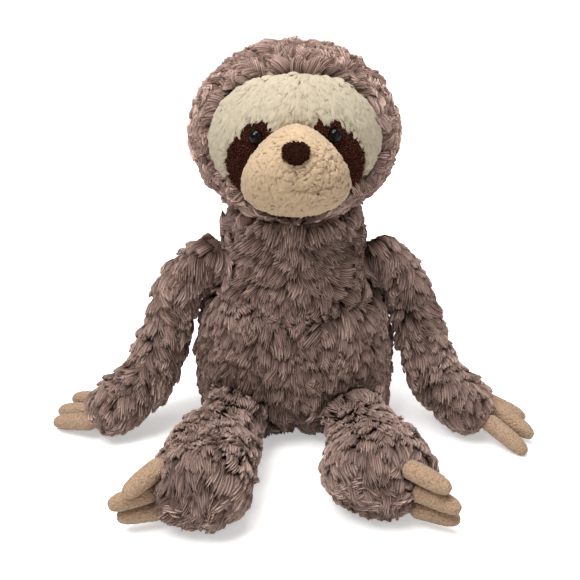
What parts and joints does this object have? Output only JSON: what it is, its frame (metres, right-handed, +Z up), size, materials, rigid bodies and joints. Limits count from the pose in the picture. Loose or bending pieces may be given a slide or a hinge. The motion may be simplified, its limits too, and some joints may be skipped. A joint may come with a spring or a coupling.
{
  "type": "plush sloth",
  "caption": "Seated stuffed sloth in long fur with a pale set-in face, dark eye patches, domed eyes, hanging arms, legs held forward and soft tan claws.",
  "frame": {"origin": "centre of the flat seat face under the torso", "axes": "+X to the viewer's right across the toy, -Y the way the toy faces, +Z up"},
  "size_m": [0.3493, 0.2282, 0.2803],
  "materials": {
    "mauve_fur": "long mauve-brown pile fur",
    "fibre_filling": "loose white polyester fibre",
    "cream_plush": "short cream plush",
    "tan_velour": "short tan velour",
    "dark_brown_velour": "short dark brown velour",
    "black_eye_plastic": "polished black",
    "white_washer_plastic": "plain moulded",
    "pellet_bag_cloth": "tight plain weave"
  },
  "bodies": {
    "torso": {"torso_skin": "mauve_fur", "torso_filling": "fibre_filling", "pellet_bag": "pellet_bag_cloth"},
    "head": {"head_skin": "mauve_fur", "head_filling": "fibre_filling", "brow_panel": "cream_plush", "eye_patch_left": "dark_brown_velour", "eye_patch_right": "dark_brown_velour", "muzzle": "tan_velour", "muzzle_filling": "fibre_filling", "nose": "dark_brown_velour", "eye_left": "black_eye_plastic", "eye_right": "black_eye_plastic", "eye_washer_left": "white_washer_plastic", "eye_washer_right": "white_washer_plastic"},
    "arm_left": {"arm_left_skin": "mauve_fur", "arm_left_filling": "fibre_filling"},
    "arm_right": {"arm_right_skin": "mauve_fur", "arm_right_filling": "fibre_filling"},
    "leg_left": {"leg_left_skin": "mauve_fur", "leg_left_filling": "fibre_filling"},
    "leg_right": {"leg_right_skin": "mauve_fur", "leg_right_filling": "fibre_filling"},
    "left_hand_claw_front": {"left_hand_claw_front": "tan_velour"},
    "left_hand_claw_middle": {"left_hand_claw_middle": "tan_velour"},
    "left_hand_claw_back": {"left_hand_claw_back": "tan_velour"},
    "right_hand_claw_front": {"right_hand_claw_front": "tan_velour"},
    "right_hand_claw_middle": {"right_hand_claw_middle": "tan_velour"},
    "right_hand_claw_back": {"right_hand_claw_back": "tan_velour"},
    "left_foot_claw_top": {"left_foot_claw_top": "tan_velour"},
    "left_foot_claw_middle": {"left_foot_claw_middle": "tan_velour"},
    "left_foot_claw_bottom": {"left_foot_claw_bottom": "tan_velour"},
    "right_foot_claw_top": {"right_foot_claw_top": "tan_velour"},
    "right_foot_claw_middle": {"right_foot_claw_middle": "tan_velour"},
    "right_foot_claw_bottom": {"right_foot_claw_bottom": "tan_velour"}
  },
  "joints": [
    {"name": "neck_turn", "type": "hinge", "parent": "torso", "child": "head", "pos_m": [0, 0.005, 0.165], "axis": [0, 0, 1], "range_deg": [-45, 45], "stiffness_Nm_per_rad": 0.05},
    {"name": "shoulder_left_swing", "type": "hinge", "parent": "torso", "child": "arm_left", "pos_m": [-0.0605, 0.003, 0.129], "axis": [-1, 0, 0], "range_deg": [-40, 120]},
    {"name": "shoulder_right_swing", "type": "hinge", "parent": "torso", "child": "arm_right", "pos_m": [0.0605, 0.003, 0.129], "axis": [-1, 0, 0], "range_deg": [-40, 120]},
    {"name": "hip_left_lift", "type": "hinge", "parent": "torso", "child": "leg_left", "pos_m": [-0.043, -0.051, 0.0265], "axis": [-1, 0, 0], "range_deg": [-75, 40]},
    {"name": "hip_right_lift", "type": "hinge", "parent": "torso", "child": "leg_right", "pos_m": [0.043, -0.051, 0.0265], "axis": [-1, 0, 0], "range_deg": [-75, 40]},
    {"name": "left_hand_claw_front_bend", "type": "hinge", "parent": "arm_left", "child": "left_hand_claw_front", "pos_m": [-0.14857, -0.03475, 0.01423], "axis": [-0.3931, -0.912, -0.117], "range_deg": [-15, 15], "stiffness_Nm_per_rad": 0.002},
    {"name": "left_hand_claw_middle_bend", "type": "hinge", "parent": "arm_left", "child": "left_hand_claw_middle", "pos_m": [-0.14926, -0.02057, 0.01392], "axis": [-0.4646, -0.8744, -0.1396], "range_deg": [-15, 15], "stiffness_Nm_per_rad": 0.002},
    {"name": "left_hand_claw_back_bend", "type": "hinge", "parent": "arm_left", "child": "left_hand_claw_back", "pos_m": [-0.14217, -0.00923, 0.01621], "axis": [-0.5359, -0.8292, -0.1586], "range_deg": [-15, 15], "stiffness_Nm_per_rad": 0.002},
    {"name": "right_hand_claw_front_bend", "type": "hinge", "parent": "arm_right", "child": "right_hand_claw_front", "pos_m": [0.14118, -0.04088, 0.01651], "axis": [0.5183, 0.8308, -0.2027], "range_deg": [-15, 15], "stiffness_Nm_per_rad": 0.002},
    {"name": "right_hand_claw_middle_bend", "type": "hinge", "parent": "arm_right", "child": "right_hand_claw_middle", "pos_m": [0.14678, -0.02679, 0.01902], "axis": [0.4946, 0.8573, -0.1432], "range_deg": [-15, 15], "stiffness_Nm_per_rad": 0.002},
    {"name": "right_hand_claw_back_bend", "type": "hinge", "parent": "arm_right", "child": "right_hand_claw_back", "pos_m": [0.14105, -0.01142, 0.01857], "axis": [0.3648, 0.9303, -0.0385], "range_deg": [-15, 15], "stiffness_Nm_per_rad": 0.002},
    {"name": "left_foot_claw_top_bend", "type": "hinge", "parent": "leg_left", "child": "left_foot_claw_top", "pos_m": [-0.08625, -0.1408, 0.04579], "axis": [-0.2353, -0.2003, 0.9511], "range_deg": [-15, 15], "stiffness_Nm_per_rad": 0.002},
    {"name": "left_foot_claw_middle_bend", "type": "hinge", "parent": "leg_left", "child": "left_foot_claw_middle", "pos_m": [-0.09164, -0.14249, 0.02871], "axis": [-0.132, -0.044, 0.9903], "range_deg": [-15, 15], "stiffness_Nm_per_rad": 0.002},
    {"name": "left_foot_claw_bottom_bend", "type": "hinge", "parent": "leg_left", "child": "left_foot_claw_bottom", "pos_m": [-0.08665, -0.14031, 0.01374], "axis": [-0.034, -0.008, 0.9994], "range_deg": [-15, 15], "stiffness_Nm_per_rad": 0.002},
    {"name": "right_foot_claw_top_bend", "type": "hinge", "parent": "leg_right", "child": "right_foot_claw_top", "pos_m": [0.07338, -0.14191, 0.04507], "axis": [-0.0602, 0.2695, -0.9611], "range_deg": [-15, 15], "stiffness_Nm_per_rad": 0.002},
    {"name": "right_foot_claw_middle_bend", "type": "hinge", "parent": "leg_right", "child": "right_foot_claw_middle", "pos_m": [0.07964, -0.14286, 0.02857], "axis": [0.0013, 0.2209, -0.9753], "range_deg": [-15, 15], "stiffness_Nm_per_rad": 0.002},
    {"name": "right_foot_claw_bottom_bend", "type": "hinge", "parent": "leg_right", "child": "right_foot_claw_bottom", "pos_m": [0.07956, -0.13779, 0.01275], "axis": [0.0362, 0.1813, -0.9828], "range_deg": [-15, 15], "stiffness_Nm_per_rad": 0.002}
  ]
}
